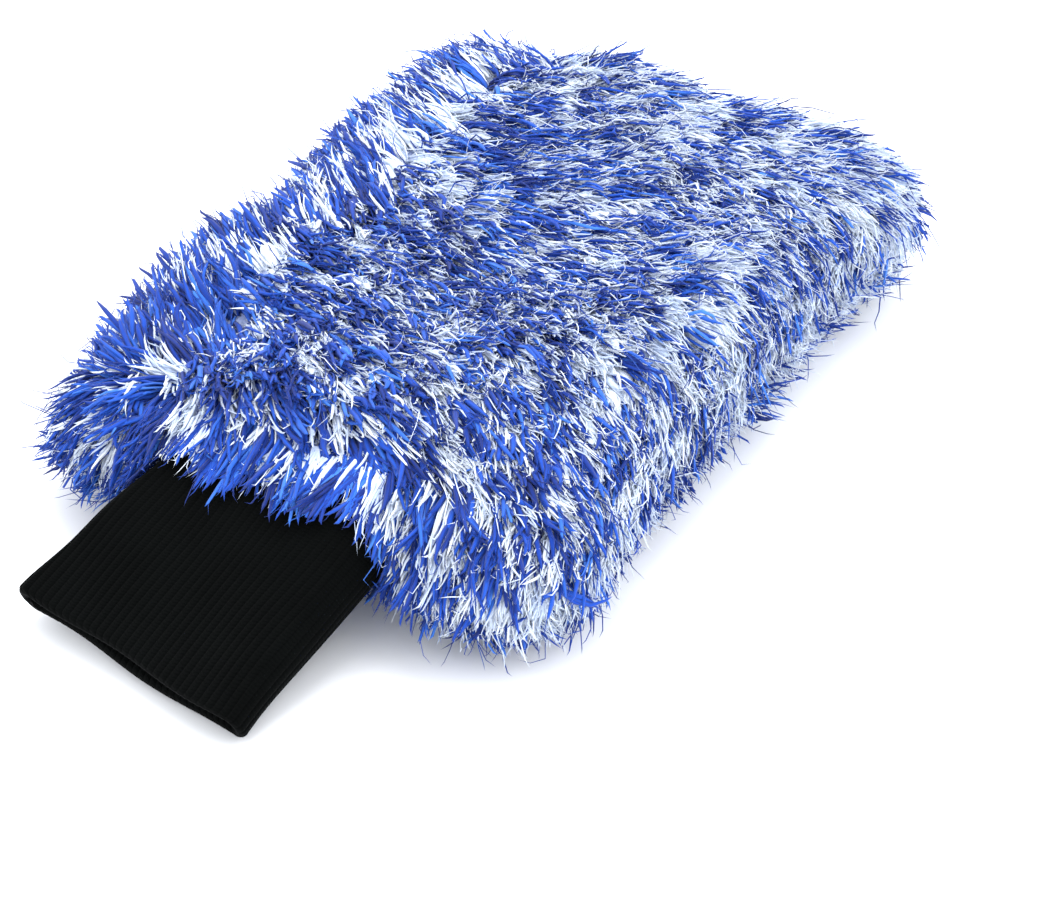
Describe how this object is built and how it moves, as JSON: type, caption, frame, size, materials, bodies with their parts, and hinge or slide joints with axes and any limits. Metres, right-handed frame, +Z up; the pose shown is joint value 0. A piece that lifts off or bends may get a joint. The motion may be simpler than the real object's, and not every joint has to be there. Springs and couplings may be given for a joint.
{
  "type": "wash mitt",
  "caption": "Thumbless plush wash mitt: long blue and white microfibre pile on both sides, padded lining and a black rib-knit cuff.",
  "frame": {"origin": "on the surface the palm side lies on, under the centre of the plush body", "axes": "+X towards the fingertips, the cuff at -X; +Y across the hand; +Z up, out of the back of the hand"},
  "size_m": [0.3171, 0.19, 0.068],
  "materials": {
    "pile": "long two-colour plush pile, blue and off-white locks",
    "ground_cloth": "knitted",
    "padding": "needle-punched",
    "lining": "smooth knit",
    "rib_knit": "matte rib knit",
    "thread": "polyester thread",
    "elastic": "woven elastic"
  },
  "bodies": {
    "mitt": {"back_pile": "pile", "palm_pile": "pile", "back_ground_cloth": "ground_cloth", "palm_ground_cloth": "ground_cloth", "back_padding": "padding", "palm_padding": "padding", "back_lining": "lining", "palm_lining": "lining", "side_seam_allowance": "ground_cloth", "side_seam_stitching": "thread", "lining_seam": "lining"},
    "cuff": {"rib_cuff": "rib_knit", "cuff_closing_seam": "rib_knit", "wrist_seam_allowance": "rib_knit", "wrist_elastic": "elastic", "wrist_stitching": "thread"}
  },
  "joints": [
    {"name": "cuff_bend", "type": "hinge", "parent": "mitt", "child": "cuff", "pos_m": [-0.113, 0, 0.034], "axis": [0, 1, 0], "range_deg": [0, 45]}
  ]
}
